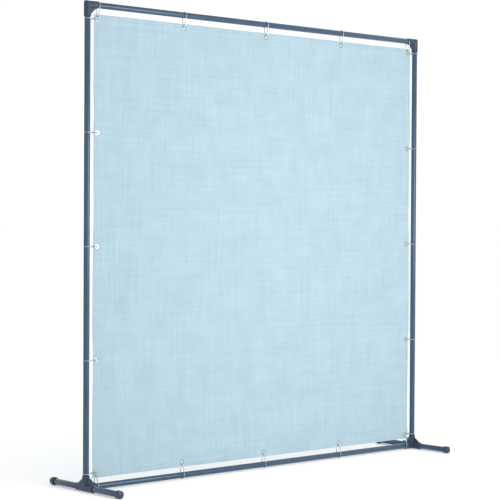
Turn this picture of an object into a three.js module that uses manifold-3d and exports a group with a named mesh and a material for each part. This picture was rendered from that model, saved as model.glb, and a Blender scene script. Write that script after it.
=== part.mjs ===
// Welding curtain screen: a free-standing frame of round steel pipe, pushed into moulded corner joints,
// with a woven mesh curtain hung inside it on pear-shaped wire rings.
//
// Units are millimetres and +Z is up. X runs across the screen, and -Y is its front.
// The origin is on the floor, in the middle of the base.

import * as THREE from 'three';
import { mergeVertices } from 'three/addons/utils/BufferGeometryUtils.js';
import Module from 'manifold-3d';

const wasm = await Module();
wasm.setup();

// ---------------------------------------------------------------------------------------------
// Driving dimensions
// ---------------------------------------------------------------------------------------------

// The whole screen
const SCREEN_WIDTH = 2000; // across the outside of the foot caps
const SCREEN_HEIGHT = 2000; // floor to the top of the upper corner joints
const FOOT_LENGTH = 476; // front cap face to rear cap face

// Pipes
const PIPE_OD = 25.4;
const PIPE_WALL = 1.2;

// Moulded joints
const SOCKET_WALL = 2.4;
const COLLAR_RISE = 0.6; // how far the bead at a socket's mouth stands proud of the socket
const COLLAR_LENGTH = 5;
const ARM_LENGTH = 47; // corner centre to the mouth of a post or rail socket
const FOOT_ARM_LENGTH = 56; // corner centre to the mouth of a foot socket
const STOP_DISTANCE = 17; // corner centre to the shoulder that a pipe's end meets
const ELBOW_CORNER_RADIUS = 10; // rounding of an elbow's outer corner
const WEB_THICKNESS = 9; // the gusset between two sockets
const WEB_SETBACK = 2; // the gusset's end to the collar
const WEB_ROOT = 0.6; // the gusset's slope ends this far inside a socket's surface

// Foot caps
const CAP_WALL = 3.6;
const CAP_GRIP = 20; // how far a cap goes onto its pipe
const CAP_END = 5.5; // thickness of the domed end, at its middle
const CAP_DOME = 5; // the end's middle to where the cap's side starts
const CAP_EDGE = 1.2; // bevel at the cap's mouth

// Rings
const WIRE_DIAMETER = 3;
const RING_PIPE_GAP = 0.8; // mean gap between the ring's bow and the pipe
const RING_PULL = 0.5; // the curtain pulls the bow this far off the pipe's centre
const RING_MOUTH_GAP = 4; // clear of the socket's mouth, for the rings next to a corner
const RING_TIP_RADIUS = 5.5; // centreline radius of the narrow bend in the eyelet
const CLASP_OVERLAP = 14; // length over which the two wire ends lie side by side
const CLASP_FADE = 9; // length over which a wire end steps out of the ring's plane
const CLASP_GAP = 0.5; // between the two wire ends

// Curtain
const CURTAIN_THICKNESS = 1;
const EYELET_MARGIN = 19; // curtain's edge to the eyelets' centres
const EYELET_INNER_COLUMN = 475; // screen's middle to the first eyelet column each side
const EYELET_ROWS = 5; // down each side, corners included
const EYELET_HOLE = 12;
const EYELET_FLANGE = 23;
const EYELET_WALL = 0.7;
const EYELET_LIP = 0.6; // thickness of the flange on each face of the curtain
const TOP_HANG = 3; // top eyelet's centre below the wire that carries it
const BOTTOM_HANG = 1.5; // bottom eyelet's centre above its wire
const SIDE_HANG = 1; // side eyelet's centre short of its wire
const CORNER_STEP = 2.5; // side rings at a corner stand this far clear of the rail ring there

// Clearance between pieces that touch
const FIT_GAP = 0.3;

// Facets
const ROUND_SIDES = 20; // pipes, sockets and caps: flats face along X, Y and Z
const EYELET_SIDES = 12;
const WIRE_SIDES = 6;
const BOW_STEPS = 9;
const TIP_STEPS = 6;
const CORNER_STEPS = 4;
const DOME_STEPS = 3;

// Working values for cuts and joins
const CUT_RUN_OUT = 1; // how far a bore's cutter runs past the mouth
const MERGE_DISTANCE = 1e-4;

// ---------------------------------------------------------------------------------------------
// Sizes worked out from them
// ---------------------------------------------------------------------------------------------

const PIPE_RADIUS = PIPE_OD / 2;
const BORE_RADIUS = PIPE_RADIUS + FIT_GAP;
const SOCKET_RADIUS = BORE_RADIUS + SOCKET_WALL;
const COLLAR_RADIUS = SOCKET_RADIUS + COLLAR_RISE;
const CAP_RADIUS = BORE_RADIUS + CAP_WALL;
const WIRE_RADIUS = WIRE_DIAMETER / 2;

const POST_X = SCREEN_WIDTH / 2 - Math.max(COLLAR_RADIUS, CAP_RADIUS);
const BASE_Z = CAP_RADIUS;
const TOP_Z = SCREEN_HEIGHT - COLLAR_RADIUS;

const BOW_RADIUS = PIPE_RADIUS + RING_PIPE_GAP + WIRE_RADIUS;
const RING_PLANE_OFFSET = ARM_LENGTH + RING_MOUTH_GAP + WIRE_RADIUS; // corner to the nearest ring's plane
const RING_REACH = RING_PLANE_OFFSET; // pipe's centre to the wire in the eyelet

const EYELET_SIDE_X = POST_X - RING_REACH + SIDE_HANG;
const EYELET_TOP_Z = TOP_Z - RING_REACH - TOP_HANG;
const EYELET_BOTTOM_Z = BASE_Z + RING_REACH + BOTTOM_HANG;
const EYELET_PITCH_Z = (EYELET_TOP_Z - EYELET_BOTTOM_Z) / (EYELET_ROWS - 1);
const EYELET_COLUMNS = [-EYELET_SIDE_X, -EYELET_INNER_COLUMN, 0, EYELET_INNER_COLUMN, EYELET_SIDE_X];
const CURTAIN_HALF_WIDTH = EYELET_SIDE_X + EYELET_MARGIN;
const CURTAIN_TOP = EYELET_TOP_Z + EYELET_MARGIN;
const CURTAIN_BOTTOM = EYELET_BOTTOM_Z - EYELET_MARGIN;

const SIDES = [['left', -POST_X], ['right', POST_X]];
const FOOT_ENDS = [['front', -1], ['rear', 1]];

// ---------------------------------------------------------------------------------------------
// Finishes
// ---------------------------------------------------------------------------------------------

const pipePaint = new THREE.MeshStandardMaterial({ color: 0x46566a, roughness: 0.38, metalness: 0.15 });
const jointPlastic = new THREE.MeshStandardMaterial({ color: 0x2c3a4a, roughness: 0.55, metalness: 0 });
const capPlastic = new THREE.MeshStandardMaterial({ color: 0x263341, roughness: 0.6, metalness: 0 });
const ringWire = new THREE.MeshStandardMaterial({ color: 0xc9ccd0, roughness: 0.3, metalness: 0.9 });
const eyeletMetal = new THREE.MeshStandardMaterial({ color: 0xdfe3e6, roughness: 0.25, metalness: 0.9 });
const curtainMesh = new THREE.MeshStandardMaterial({ color: 0xaed0e2, roughness: 0.8, metalness: 0 });

// ---------------------------------------------------------------------------------------------
// Helpers
// ---------------------------------------------------------------------------------------------

const screen = new THREE.Group();

// Adds a named piece, with its own copy of the finish.
function addPiece(name, geometry, finish, parent = screen) {
  const mesh = new THREE.Mesh(geometry, finish.clone());
  mesh.name = name;
  parent.add(mesh);
  return mesh;
}

// Corner radius of a polygon whose flats lie at the given radius.
function flatsAt(radius, sides = ROUND_SIDES) {
  return radius / Math.cos(Math.PI / sides);
}

// A rod along Y from y0 to y1, in one or more lengths, with flats facing along X and Z.
function rodAlongY(radius, y0, y1, lengths = 1) {
  const corner = flatsAt(radius);
  const turn = Math.PI / ROUND_SIDES;
  const rod = new THREE.CylinderGeometry(corner, corner, y1 - y0, ROUND_SIDES, lengths, false, turn);
  rod.translate(0, (y0 + y1) / 2, 0);
  return rod;
}

// A rod along X or Z, laid down or stood up from a rod along Y.
function rodAlongX(radius, x0, x1) {
  return rodAlongY(radius, x0, x1).rotateZ(-Math.PI / 2);
}

function rodAlongZ(radius, z0, z1) {
  return rodAlongY(radius, z0, z1).rotateX(Math.PI / 2);
}

// A plate with its outline in X and Z, centred on Y = 0.
function plateInXZ(outline, thickness) {
  const plate = new THREE.ExtrudeGeometry(outline, { depth: thickness, bevelEnabled: false });
  plate.rotateX(Math.PI / 2);
  plate.translate(0, thickness / 2, 0);
  return plate;
}

function shapeOf(points) {
  return new THREE.Shape(points.map(([x, z]) => new THREE.Vector2(x, z)));
}

// Turns a closed geometry into a solid that can be joined and cut.
function toSolid(geometry) {
  const bare = geometry.clone();
  bare.deleteAttribute('normal');
  bare.deleteAttribute('uv');
  const merged = mergeVertices(bare, MERGE_DISTANCE);
  const vertProperties = new Float32Array(merged.attributes.position.array);
  const triVerts = new Uint32Array(merged.index.array);
  return new wasm.Manifold(new wasm.Mesh({ numProp: 3, vertProperties, triVerts }));
}

// Turns a solid back into a geometry.
function toGeometry(solid) {
  const mesh = solid.getMesh();
  const geometry = new THREE.BufferGeometry();
  geometry.setAttribute('position', new THREE.Float32BufferAttribute(mesh.vertProperties, 3));
  geometry.setIndex(new THREE.Uint32BufferAttribute(mesh.triVerts, 1));
  geometry.computeVertexNormals();
  return geometry;
}

function joinAll(geometries) {
  return geometries.map(toSolid).reduce((whole, next) => whole.add(next));
}

function cutAll(solid, geometries) {
  return geometries.map(toSolid).reduce((rest, next) => rest.subtract(next), solid);
}

// ---------------------------------------------------------------------------------------------
// Pipes
// ---------------------------------------------------------------------------------------------

// A hollow pipe along Y, centred on its middle.
function pipeGeometry(length) {
  const outer = flatsAt(PIPE_RADIUS);
  const inner = flatsAt(PIPE_RADIUS - PIPE_WALL);
  const half = length / 2;
  const wall = [
    new THREE.Vector2(inner, -half),
    new THREE.Vector2(outer, -half),
    new THREE.Vector2(outer, half),
    new THREE.Vector2(inner, half),
    new THREE.Vector2(inner, -half),
  ];
  return new THREE.LatheGeometry(wall, ROUND_SIDES, Math.PI / ROUND_SIDES);
}

function addPipes() {
  const endInset = STOP_DISTANCE + FIT_GAP;
  const postLength = TOP_Z - BASE_Z - 2 * endInset;
  const railLength = 2 * (POST_X - endInset);
  for (const [side, x] of SIDES) {
    const post = addPiece(`${side}_post`, pipeGeometry(postLength), pipePaint);
    post.rotation.x = Math.PI / 2;
    post.position.set(x, 0, (TOP_Z + BASE_Z) / 2);
  }
  for (const [name, z] of [['top_rail', TOP_Z], ['bottom_rail', BASE_Z]]) {
    const rail = addPiece(name, pipeGeometry(railLength), pipePaint);
    rail.rotation.z = Math.PI / 2;
    rail.position.set(0, 0, z);
  }
  const outerEnd = FOOT_LENGTH / 2 - CAP_END - FIT_GAP;
  for (const [side, x] of SIDES) {
    for (const [end, way] of FOOT_ENDS) {
      const foot = addPiece(`${side}_${end}_foot`, pipeGeometry(outerEnd - endInset), pipePaint);
      foot.position.set(x, way * (outerEnd + endInset) / 2, BASE_Z);
    }
  }
}

// ---------------------------------------------------------------------------------------------
// Moulded joints, each built about the point where its pipes' centre lines meet
// ---------------------------------------------------------------------------------------------

// The gusset between a socket along +X of one reach and a socket along Z of another, in X and Z.
function webOutline(reachX, reachZ, wayZ) {
  const root = SOCKET_RADIUS - WEB_ROOT;
  return shapeOf([
    [0, 0],
    [reachX, 0],
    [reachX, wayZ * root],
    [root, wayZ * reachZ],
    [0, wayZ * reachZ],
  ]);
}

// A rod bent square at its middle with a mitred corner: one arm to +X, the other down.
function bentRod(radius, armLength) {
  const rod = rodAlongY(radius, -armLength, armLength, 2);
  const points = rod.attributes.position;
  for (let i = 0; i < points.count; i += 1) {
    const across = points.getX(i);
    const along = points.getY(i);
    const out = points.getZ(i);
    points.setXYZ(i, along > 0 ? along : -out, -across, along < 0 ? along : out);
  }
  return rod;
}

// What is cut away to round an elbow's outer corner, which points to -X and +Z.
function cornerCutter() {
  const centreX = ELBOW_CORNER_RADIUS - SOCKET_RADIUS;
  const centreZ = SOCKET_RADIUS - ELBOW_CORNER_RADIUS;
  const outside = SOCKET_RADIUS + ELBOW_CORNER_RADIUS;
  const points = [];
  for (let i = 0; i <= CORNER_STEPS; i += 1) {
    const angle = Math.PI * (0.5 + 0.5 * i / CORNER_STEPS);
    const x = centreX + ELBOW_CORNER_RADIUS * Math.cos(angle);
    const z = centreZ + ELBOW_CORNER_RADIUS * Math.sin(angle);
    points.push([x, z]);
  }
  const [first, second] = points;
  const [last, beforeLast] = points.slice(-2).reverse();
  const runOn = (to, from) => [2 * to[0] - from[0], 2 * to[1] - from[1]];
  const outline = [runOn(first, second), ...points.slice(1, -1), runOn(last, beforeLast)];
  return plateInXZ(shapeOf([...outline, [-outside, outside]]), 2 * outside);
}

// The upper left elbow: one socket to +X for the rail and one down for the post.
function elbowGeometry() {
  const reach = ARM_LENGTH - COLLAR_LENGTH - WEB_SETBACK;
  const body = joinAll([
    bentRod(SOCKET_RADIUS, ARM_LENGTH),
    rodAlongX(COLLAR_RADIUS, ARM_LENGTH - COLLAR_LENGTH, ARM_LENGTH),
    rodAlongZ(COLLAR_RADIUS, -ARM_LENGTH, -ARM_LENGTH + COLLAR_LENGTH),
    plateInXZ(webOutline(reach, reach, -1), WEB_THICKNESS),
  ]);
  return toGeometry(cutAll(body, [
    cornerCutter(),
    rodAlongX(BORE_RADIUS, STOP_DISTANCE, ARM_LENGTH + CUT_RUN_OUT),
    rodAlongZ(BORE_RADIUS, -ARM_LENGTH - CUT_RUN_OUT, -STOP_DISTANCE),
  ]));
}

// The left base joint: a socket up for the post, one to +X for the rail, and one each way along Y
// for the two halves of the foot, with a gusset from the post's socket to each of the others.
function baseJointGeometry() {
  const reach = ARM_LENGTH - COLLAR_LENGTH - WEB_SETBACK;
  const footReach = FOOT_ARM_LENGTH - COLLAR_LENGTH - WEB_SETBACK;
  const footWeb = () => plateInXZ(webOutline(footReach, reach, 1), WEB_THICKNESS);
  const body = joinAll([
    rodAlongY(SOCKET_RADIUS, -FOOT_ARM_LENGTH, FOOT_ARM_LENGTH),
    rodAlongX(SOCKET_RADIUS, 0, ARM_LENGTH),
    rodAlongZ(SOCKET_RADIUS, 0, ARM_LENGTH),
    rodAlongY(COLLAR_RADIUS, -FOOT_ARM_LENGTH, -FOOT_ARM_LENGTH + COLLAR_LENGTH),
    rodAlongY(COLLAR_RADIUS, FOOT_ARM_LENGTH - COLLAR_LENGTH, FOOT_ARM_LENGTH),
    rodAlongX(COLLAR_RADIUS, ARM_LENGTH - COLLAR_LENGTH, ARM_LENGTH),
    rodAlongZ(COLLAR_RADIUS, ARM_LENGTH - COLLAR_LENGTH, ARM_LENGTH),
    plateInXZ(webOutline(reach, reach, 1), WEB_THICKNESS),
    footWeb().rotateZ(Math.PI / 2),
    footWeb().rotateZ(-Math.PI / 2),
  ]);
  return toGeometry(cutAll(body, [
    rodAlongY(BORE_RADIUS, -FOOT_ARM_LENGTH - CUT_RUN_OUT, -STOP_DISTANCE),
    rodAlongY(BORE_RADIUS, STOP_DISTANCE, FOOT_ARM_LENGTH + CUT_RUN_OUT),
    rodAlongX(BORE_RADIUS, STOP_DISTANCE, ARM_LENGTH + CUT_RUN_OUT),
    rodAlongZ(BORE_RADIUS, STOP_DISTANCE, ARM_LENGTH + CUT_RUN_OUT),
  ]));
}

// The right-hand joints are the left-hand ones turned half round.
function addJoints() {
  for (const [side, x] of SIDES) {
    const turn = x < 0 ? 0 : Math.PI;
    const elbow = elbowGeometry().rotateZ(turn);
    const base = baseJointGeometry().rotateZ(turn);
    addPiece(`${side}_top_elbow`, elbow, jointPlastic).position.set(x, 0, TOP_Z);
    addPiece(`${side}_base_joint`, base, jointPlastic).position.set(x, 0, BASE_Z);
  }
}

// ---------------------------------------------------------------------------------------------
// Foot caps
// ---------------------------------------------------------------------------------------------

// A cap along Y, with its domed end at y = 0 and its mouth towards +Y.
function capGeometry() {
  const length = CAP_END + CAP_GRIP;
  const profile = [
    [0, CAP_END],
    [BORE_RADIUS, CAP_END],
    [BORE_RADIUS, length],
    [CAP_RADIUS - CAP_EDGE, length],
    [CAP_RADIUS, length - CAP_EDGE],
  ];
  for (let i = DOME_STEPS; i >= 0; i -= 1) {
    const angle = i * Math.PI / 2 / DOME_STEPS;
    profile.push([CAP_RADIUS * Math.sin(angle), CAP_DOME * (1 - Math.cos(angle))]);
  }
  const points = profile.map(([r, y]) => new THREE.Vector2(flatsAt(r), y)).reverse();
  return new THREE.LatheGeometry(points, ROUND_SIDES, Math.PI / ROUND_SIDES);
}

function addCaps() {
  for (const [side, x] of SIDES) {
    for (const [end, way] of FOOT_ENDS) {
      const cap = addPiece(`${side}_${end}_cap`, capGeometry(), capPlastic);
      cap.rotation.z = way < 0 ? 0 : Math.PI;
      cap.position.set(x, way * FOOT_LENGTH / 2, BASE_Z);
    }
  }
}

// ---------------------------------------------------------------------------------------------
// Curtain and eyelets
// ---------------------------------------------------------------------------------------------

// The eyelets' names and centres, in X and Z: five along the top, five along the bottom, and the rest
// down the sides between the corners.
function eyeletPlaces() {
  const places = [];
  for (const [edge, z] of [['top', EYELET_TOP_Z], ['bottom', EYELET_BOTTOM_Z]]) {
    EYELET_COLUMNS.forEach((x, i) => places.push({ name: `eyelet_${edge}_${i + 1}`, x, z }));
  }
  for (const [side, x] of [['left', -EYELET_SIDE_X], ['right', EYELET_SIDE_X]]) {
    for (let row = 1; row < EYELET_ROWS - 1; row += 1) {
      const z = EYELET_BOTTOM_Z + row * EYELET_PITCH_Z;
      places.push({ name: `eyelet_${side}_${row}`, x, z });
    }
  }
  return places;
}

function addCurtain(places) {
  const outline = shapeOf([
    [-CURTAIN_HALF_WIDTH, CURTAIN_BOTTOM],
    [CURTAIN_HALF_WIDTH, CURTAIN_BOTTOM],
    [CURTAIN_HALF_WIDTH, CURTAIN_TOP],
    [-CURTAIN_HALF_WIDTH, CURTAIN_TOP],
  ]);
  const holeRadius = flatsAt(EYELET_HOLE / 2 + EYELET_WALL + FIT_GAP, EYELET_SIDES);
  for (const { x, z } of places) {
    const rim = [];
    for (let i = 0; i < EYELET_SIDES; i += 1) {
      const angle = -(i + 0.5) * 2 * Math.PI / EYELET_SIDES;
      rim.push(new THREE.Vector2(x + holeRadius * Math.cos(angle), z + holeRadius * Math.sin(angle)));
    }
    outline.holes.push(new THREE.Path(rim));
  }
  addPiece('curtain', plateInXZ(outline, CURTAIN_THICKNESS), curtainMesh);
}

// A two-sided eyelet about the Y axis: a barrel through the cloth with a flange on each face.
function eyeletGeometry() {
  const hole = EYELET_HOLE / 2;
  const barrel = hole + EYELET_WALL;
  const flange = EYELET_FLANGE / 2;
  const inner = CURTAIN_THICKNESS / 2 + FIT_GAP;
  const outer = inner + EYELET_LIP;
  const profile = [
    [hole, -outer],
    [flange, -outer],
    [flange, -inner],
    [barrel, -inner],
    [barrel, inner],
    [flange, inner],
    [flange, outer],
    [hole, outer],
    [hole, -outer],
  ];
  const points = profile.map(([r, y]) => new THREE.Vector2(flatsAt(r, EYELET_SIDES), y));
  return new THREE.LatheGeometry(points, EYELET_SIDES, Math.PI / EYELET_SIDES);
}

function addEyelets(places) {
  for (const { name, x, z } of places) {
    addPiece(name, eyeletGeometry(), eyeletMetal).position.set(x, 0, z);
  }
}

// ---------------------------------------------------------------------------------------------
// Rings
// ---------------------------------------------------------------------------------------------

// A path through chosen points, so that its bends are fine and its straights are one step.
class StepPath extends THREE.Curve {
  constructor(points) {
    super();
    this.points = points;
  }

  getPoint(t, target = new THREE.Vector3()) {
    const place = t * (this.points.length - 1);
    const i = Math.min(Math.floor(place), this.points.length - 2);
    return target.lerpVectors(this.points[i], this.points[i + 1], place - i);
  }

  getPointAt(u, target) {
    return this.getPoint(u, target);
  }

  getTangentAt(u, target = new THREE.Vector3()) {
    const i = Math.round(u * (this.points.length - 1));
    const before = this.points[Math.max(i - 1, 0)];
    const after = this.points[Math.min(i + 1, this.points.length - 1)];
    return target.subVectors(after, before).normalize();
  }
}

// The wire's centre line, about the pipe's centre line along X. The bow goes round the pipe and the
// narrow tip hangs at -Z, and the two ends lie side by side on the front.
function ringPath() {
  const bowZ = -RING_PULL;
  const tipZ = -RING_REACH + RING_TIP_RADIUS;
  const lean = Math.asin((BOW_RADIUS - RING_TIP_RADIUS) / (bowZ - tipZ)); // the sides' lean from upright
  const side = new THREE.Vector3(0, -Math.cos(lean), -Math.sin(lean)); // straight out from the front side
  const bowFront = side.clone().multiplyScalar(BOW_RADIUS).add(new THREE.Vector3(0, 0, bowZ));
  const tipFront = side.clone().multiplyScalar(RING_TIP_RADIUS).add(new THREE.Vector3(0, 0, tipZ));
  const middle = bowFront.clone().lerp(tipFront, 0.5);
  const down = tipFront.clone().sub(bowFront).normalize();
  const step = WIRE_DIAMETER / 2 + CLASP_GAP / 2;
  const onSide = (along, out) => middle.clone().addScaledVector(down, along).setX(out);

  const points = [
    onSide(CLASP_OVERLAP / 2, step),
    onSide(-CLASP_OVERLAP / 2, step),
    onSide(-CLASP_OVERLAP / 2 - CLASP_FADE, 0),
  ];
  for (let i = 0; i <= BOW_STEPS; i += 1) {
    const angle = Math.PI + lean - i * (Math.PI + 2 * lean) / BOW_STEPS;
    points.push(new THREE.Vector3(0, BOW_RADIUS * Math.cos(angle), bowZ + BOW_RADIUS * Math.sin(angle)));
  }
  for (let i = 0; i <= TIP_STEPS; i += 1) {
    const angle = -lean - i * (Math.PI - 2 * lean) / TIP_STEPS;
    const y = RING_TIP_RADIUS * Math.cos(angle);
    points.push(new THREE.Vector3(0, y, tipZ + RING_TIP_RADIUS * Math.sin(angle)));
  }
  points.push(
    onSide(CLASP_OVERLAP / 2 + CLASP_FADE, 0),
    onSide(CLASP_OVERLAP / 2, -step),
    onSide(-CLASP_OVERLAP / 2, -step),
  );
  return new StepPath(points);
}

function ringGeometry() {
  const path = ringPath();
  const section = new THREE.Shape();
  for (let i = 0; i < WIRE_SIDES; i += 1) {
    const angle = i * 2 * Math.PI / WIRE_SIDES;
    const draw = i === 0 ? 'moveTo' : 'lineTo';
    section[draw](WIRE_RADIUS * Math.cos(angle), WIRE_RADIUS * Math.sin(angle));
  }
  section.closePath();
  return new THREE.ExtrudeGeometry(section, { steps: path.points.length - 1, extrudePath: path });
}

// One ring, on the pipe through (x, z), turned about Y so that its tip points to its eyelet.
function addRing(name, x, z, turn) {
  const place = new THREE.Group();
  place.position.set(x, 0, z);
  place.rotation.y = turn;
  screen.add(place);
  addPiece(name, ringGeometry(), ringWire, place);
}

function addRings() {
  EYELET_COLUMNS.forEach((x, i) => {
    addRing(`ring_top_${i + 1}`, x, TOP_Z, 0);
    addRing(`ring_bottom_${i + 1}`, x, BASE_Z, Math.PI);
  });
  for (let row = 0; row < EYELET_ROWS; row += 1) {
    const atBottom = row === 0 ? CORNER_STEP : 0;
    const atTop = row === EYELET_ROWS - 1 ? CORNER_STEP : 0;
    const z = EYELET_BOTTOM_Z + row * EYELET_PITCH_Z + atBottom - atTop;
    addRing(`ring_left_${row + 1}`, -POST_X, z, -Math.PI / 2);
    addRing(`ring_right_${row + 1}`, POST_X, z, Math.PI / 2);
  }
}

// ---------------------------------------------------------------------------------------------
// The whole screen
// ---------------------------------------------------------------------------------------------

addPipes();
addJoints();
addCaps();
const places = eyeletPlaces();
addCurtain(places);
addEyelets(places);
addRings();

export default screen;
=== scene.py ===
"""A welding curtain screen: a pipe frame on T feet, with a woven curtain hung inside it on wire rings.

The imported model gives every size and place. This script builds the finished pieces round it, in metres, in
the same frame: +Z is up, +X runs across the screen and -Y is its front.
"""

from __future__ import annotations

import logging
import math
from collections.abc import Iterator
from contextlib import contextmanager
from dataclasses import asdict, dataclass
from enum import Enum

import bmesh
import bpy
from mathutils import Matrix, Vector

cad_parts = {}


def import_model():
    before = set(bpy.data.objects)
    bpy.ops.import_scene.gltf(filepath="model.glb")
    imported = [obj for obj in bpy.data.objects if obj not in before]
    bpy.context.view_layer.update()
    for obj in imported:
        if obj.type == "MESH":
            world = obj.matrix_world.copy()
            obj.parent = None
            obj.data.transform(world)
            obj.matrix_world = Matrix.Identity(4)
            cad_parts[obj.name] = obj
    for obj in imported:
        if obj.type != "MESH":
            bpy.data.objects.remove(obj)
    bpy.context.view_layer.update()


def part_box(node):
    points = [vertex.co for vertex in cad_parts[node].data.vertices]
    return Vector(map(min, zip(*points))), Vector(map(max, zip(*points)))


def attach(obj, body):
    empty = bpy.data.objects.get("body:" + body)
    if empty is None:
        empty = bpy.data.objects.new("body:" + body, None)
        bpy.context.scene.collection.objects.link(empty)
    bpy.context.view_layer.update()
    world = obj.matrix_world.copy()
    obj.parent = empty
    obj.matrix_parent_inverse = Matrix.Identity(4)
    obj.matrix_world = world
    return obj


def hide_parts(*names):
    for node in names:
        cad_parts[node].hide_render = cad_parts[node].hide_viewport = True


MM = 0.001
# The ranges that most of a noise's values lie in, and the middle of them.
MOST_OF_NOISE = (0.3, 0.7)
MIDDLE_OF_NOISE = (0.35, 0.65)
log = logging.getLogger("welding_screen")

Colour = tuple[float, float, float]
Point = tuple[float, float, float]
Range = tuple[float, float]
Piece = bpy.types.Object
Finish = bpy.types.Material
Socket = bpy.types.NodeSocket


# ---- Named options ----------------------------------------


class Named(Enum):
    """An option whose name also stands in the names of nodes."""

    @property
    def word(self) -> str:
        """The option's name in small letters."""
        return self.name.lower()


class Side(Named):
    """The two ends of the screen, and the turn about Z that each one's joints have from the left ones."""

    LEFT = 0.0
    RIGHT = math.pi


class End(Named):
    """The two ends of a foot, and the turn about Z that each one's cap has from the front one."""

    FRONT = 0.0
    REAR = math.pi


class Edge(Named):
    """The four pipes that carry rings, and the turn about Y that points a hanging ring inwards."""

    TOP = 0.0
    BOTTOM = math.pi
    LEFT = -math.pi / 2
    RIGHT = math.pi / 2


class Along(Enum):
    """The directions that pipes, sockets and seams lie in."""

    X = Vector((1, 0, 0))
    Y = Vector((0, 1, 0))
    Z = Vector((0, 0, 1))


# ---- The workbench: small steps that every piece uses ----------------


def select_only(piece: Piece) -> None:
    """Selects one piece, and makes it the active one.

    Args:
        piece: The piece to work on.
    """
    bpy.ops.object.select_all(action="DESELECT")
    piece.hide_set(False)
    piece.select_set(True)
    bpy.context.view_layer.objects.active = piece


def settle(piece: Piece) -> Piece:
    """Puts a piece's place, turn and scale into its mesh, so that its object sits at the origin.

    Args:
        piece: The piece to settle.

    Returns:
        The same piece.
    """
    select_only(piece)
    bpy.ops.object.transform_apply(location=True, rotation=True, scale=True)
    return piece


def rename(piece: Piece, name: str) -> None:
    """Gives a piece and its mesh one name."""
    piece.name = name
    piece.data.name = name


def newest(name: str) -> Piece:
    """Names the primitive that was just added, and settles it.

    Args:
        name: The name for the new piece.

    Returns:
        The piece.
    """
    piece = bpy.context.active_object
    rename(piece, name)
    return settle(piece)


@contextmanager
def editing(piece: Piece, action: str = "SELECT") -> Iterator[None]:
    """Opens a piece in edit mode with all or nothing selected, and closes it afterwards.

    Args:
        piece: The piece to edit.
        action: SELECT or DESELECT.

    Yields:
        Nothing.
    """
    select_only(piece)
    bpy.ops.object.mode_set(mode="EDIT")
    bpy.ops.mesh.select_mode(type="VERT")
    bpy.ops.mesh.select_all(action=action)
    yield
    bpy.ops.object.mode_set(mode="OBJECT")


def use_modifier(piece: Piece, kind: str, **settings: object) -> None:
    """Adds a modifier, sets it and applies it.

    Args:
        piece: The piece that gets the modifier.
        kind: Blender's name for the modifier's type.
        **settings: The modifier's settings.
    """
    select_only(piece)
    modifier = piece.modifiers.new(kind.title(), kind)
    for key, value in settings.items():
        setattr(modifier, key, value)
    bpy.ops.object.modifier_apply(modifier=modifier.name)


def ease_edges(piece: Piece, width: float, segments: int, degrees: float = 60) -> None:
    """Rounds the edges that are sharper than an angle."""
    limit = {"limit_method": "ANGLE", "angle_limit": math.radians(degrees)}
    use_modifier(piece, "BEVEL", width=width, segments=segments, **limit)


def combine(piece: Piece, tool: Piece, operation: str) -> None:
    """Cuts a piece with a tool, or crosses the two, and takes the tool away."""
    use_modifier(piece, "BOOLEAN", operation=operation, solver="EXACT", object=tool)
    bpy.data.objects.remove(tool, do_unlink=True)


def join(pieces: list[Piece], name: str) -> Piece:
    """Joins pieces into one object.

    Args:
        pieces: The pieces, all settled.
        name: The name for the whole.

    Returns:
        The joined piece.
    """
    bpy.ops.object.select_all(action="DESELECT")
    for piece in pieces:
        piece.select_set(True)
    bpy.context.view_layer.objects.active = pieces[0]
    bpy.ops.object.join()
    rename(pieces[0], name)
    return pieces[0]


def merge_and_face_out(piece: Piece, distance: float = 0.001 * MM) -> None:
    """Merges vertices that lie nearer than a distance, and turns every face outwards.

    Args:
        piece: The piece to clean.
        distance: How near two vertices lie to be merged.
    """
    with editing(piece):
        bpy.ops.mesh.remove_doubles(threshold=distance)
        bpy.ops.mesh.normals_make_consistent(inside=False)


def shade(piece: Piece, degrees: float = 32) -> None:
    """Shades a piece smooth, but for edges sharper than an angle."""
    select_only(piece)
    bpy.ops.object.shade_smooth_by_angle(angle=math.radians(degrees))


def copy_to(piece: Piece, name: str, place: Matrix) -> Piece:
    """Copies a piece with a mesh of its own, moved to its place.

    Args:
        piece: The pattern piece.
        name: The copy's name.
        place: Where the copy goes, from where the pattern lies.

    Returns:
        The copy.
    """
    copy = piece.copy()
    copy.data = piece.data.copy()
    rename(copy, name)
    bpy.context.scene.collection.objects.link(copy)
    copy.matrix_world = place
    return settle(copy)


def rod(name: str, radius: float, start: Vector, end: Vector, sides: int = 64) -> Piece:
    """A plain round rod between the middles of its two ends.

    Args:
        name: The rod's name.
        radius: The rod's radius.
        start: The middle of one end.
        end: The middle of the other end.
        sides: How many sides it has.

    Returns:
        The rod.
    """
    way = end - start
    bpy.ops.mesh.primitive_cylinder_add(
        vertices=sides,
        radius=radius,
        depth=way.length,
        location=(start + end) / 2,
        rotation=way.to_track_quat("Z", "Y").to_euler(),
    )
    return newest(name)


def block(name: str, low: Vector, high: Vector) -> Piece:
    """A plain block between two corners.

    Args:
        name: The block's name.
        low: The corner with the lowest values.
        high: The corner with the highest values.

    Returns:
        The block.
    """
    bpy.ops.mesh.primitive_cube_add(size=1, location=(low + high) / 2)
    bpy.context.active_object.scale = high - low
    return newest(name)


def cut_plane(piece: Piece, point: Vector, normal: Vector, fill: bool) -> None:
    """Cuts a piece at a point, keeps the side that the normal points to, and may close the cut."""
    with editing(piece):
        bpy.ops.mesh.bisect(plane_co=point, plane_no=normal, use_fill=fill, clear_inner=True)


def circle(name: str, radius: float, sides: int, centre: Point, turn: Point) -> Piece:
    """An open circle, turned from level about its centre, from which a shape is drawn out."""
    bpy.ops.mesh.primitive_circle_add(
        vertices=sides, radius=radius, fill_type="NOTHING", location=centre, rotation=turn
    )
    return newest(name)


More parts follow.
